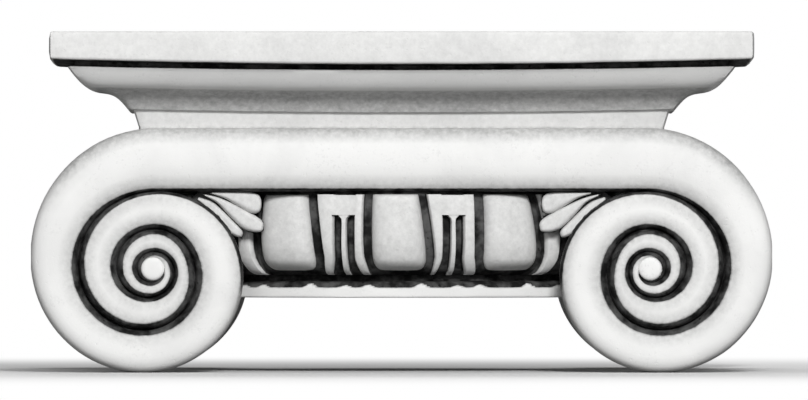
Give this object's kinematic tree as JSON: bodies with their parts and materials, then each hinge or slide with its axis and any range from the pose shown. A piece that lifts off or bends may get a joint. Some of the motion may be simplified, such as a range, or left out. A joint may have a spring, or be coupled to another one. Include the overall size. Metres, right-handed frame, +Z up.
{
  "type": "ionic column capital",
  "caption": "Ionic column capital with a moulded square abacus, scrolled front and back faces, side bolsters, an egg-and-dart echinus and a round neck band for the shaft.",
  "frame": {"origin": "centre of the bounding box at the lowest points of the volute rims, on the vertical axis of the shaft", "axes": "+Z up, +X along the width across the volutes, the front scrolled face looks along -Y and the back face along +Y"},
  "size_m": [0.5992, 0.568, 0.2751],
  "materials": {
    "cast_stone": "matte white cast stone, dark patina in the recesses"
  },
  "bodies": {
    "root": {"capital": "cast_stone"}
  },
  "joints": []
}
